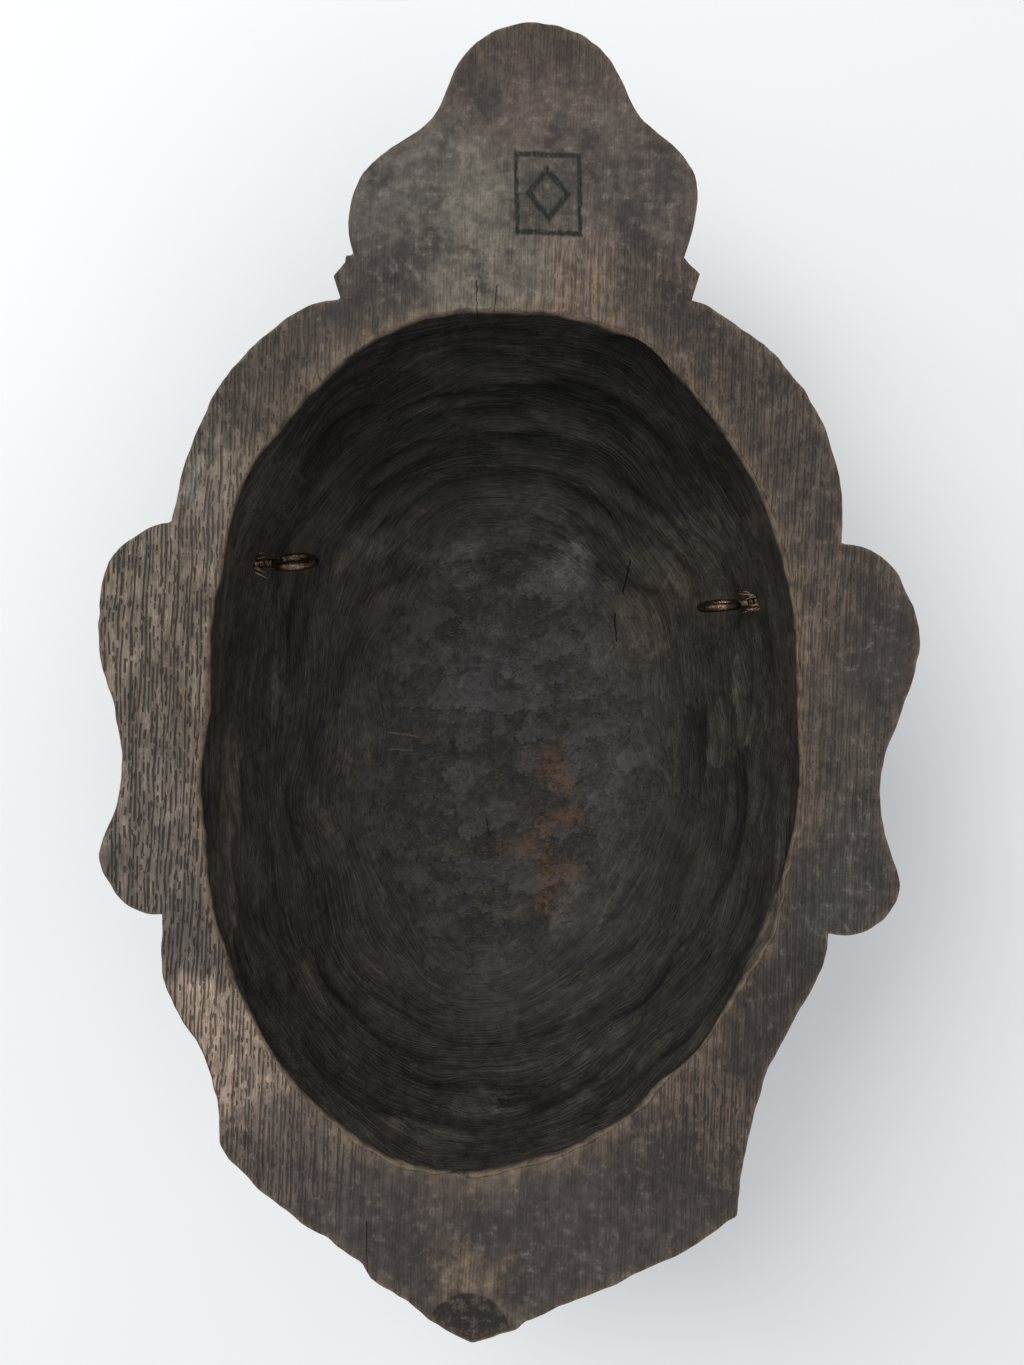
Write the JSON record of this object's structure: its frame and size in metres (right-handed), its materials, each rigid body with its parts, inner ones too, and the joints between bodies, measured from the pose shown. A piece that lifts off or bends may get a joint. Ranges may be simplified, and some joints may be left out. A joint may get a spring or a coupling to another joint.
{
  "type": "carved wooden head plaque",
  "caption": "Hollow-backed carved wooden head with a topknot, long ears and a pointed collar, with screw eyes in the hollow's side walls for a hanging cord.",
  "frame": {"origin": "on the table, under the middle of the outline, with the head lying on its front and the hollow up", "axes": "+Y from the collar's point to the topknot, +Z out of the hollow, square to the flat rim, +X to the right as the hollow is looked into"},
  "size_m": [0.1988, 0.32, 0.096],
  "materials": {
    "wood": "dark oiled open-pored hardwood, worn pale on its edges",
    "screw_eye_metal": "browned brass wire, bright where it is rubbed"
  },
  "bodies": {
    "carving": {"carved_body": "wood"},
    "left_screw": {"screw_eye_left": "screw_eye_metal"},
    "right_screw": {"screw_eye_right": "screw_eye_metal"}
  },
  "joints": [
    {"name": "left_screw_turn", "type": "hinge", "parent": "carving", "child": "left_screw", "pos_m": [-0.05607, 0.02935, 0.076], "axis": [0.9976, 0.0698, 0], "range_deg": [-180, 180]},
    {"name": "right_screw_turn", "type": "hinge", "parent": "carving", "child": "right_screw", "pos_m": [0.05504, 0.0226, 0.073], "axis": [-0.9903, -0.1392, 0], "range_deg": [-180, 180]}
  ]
}
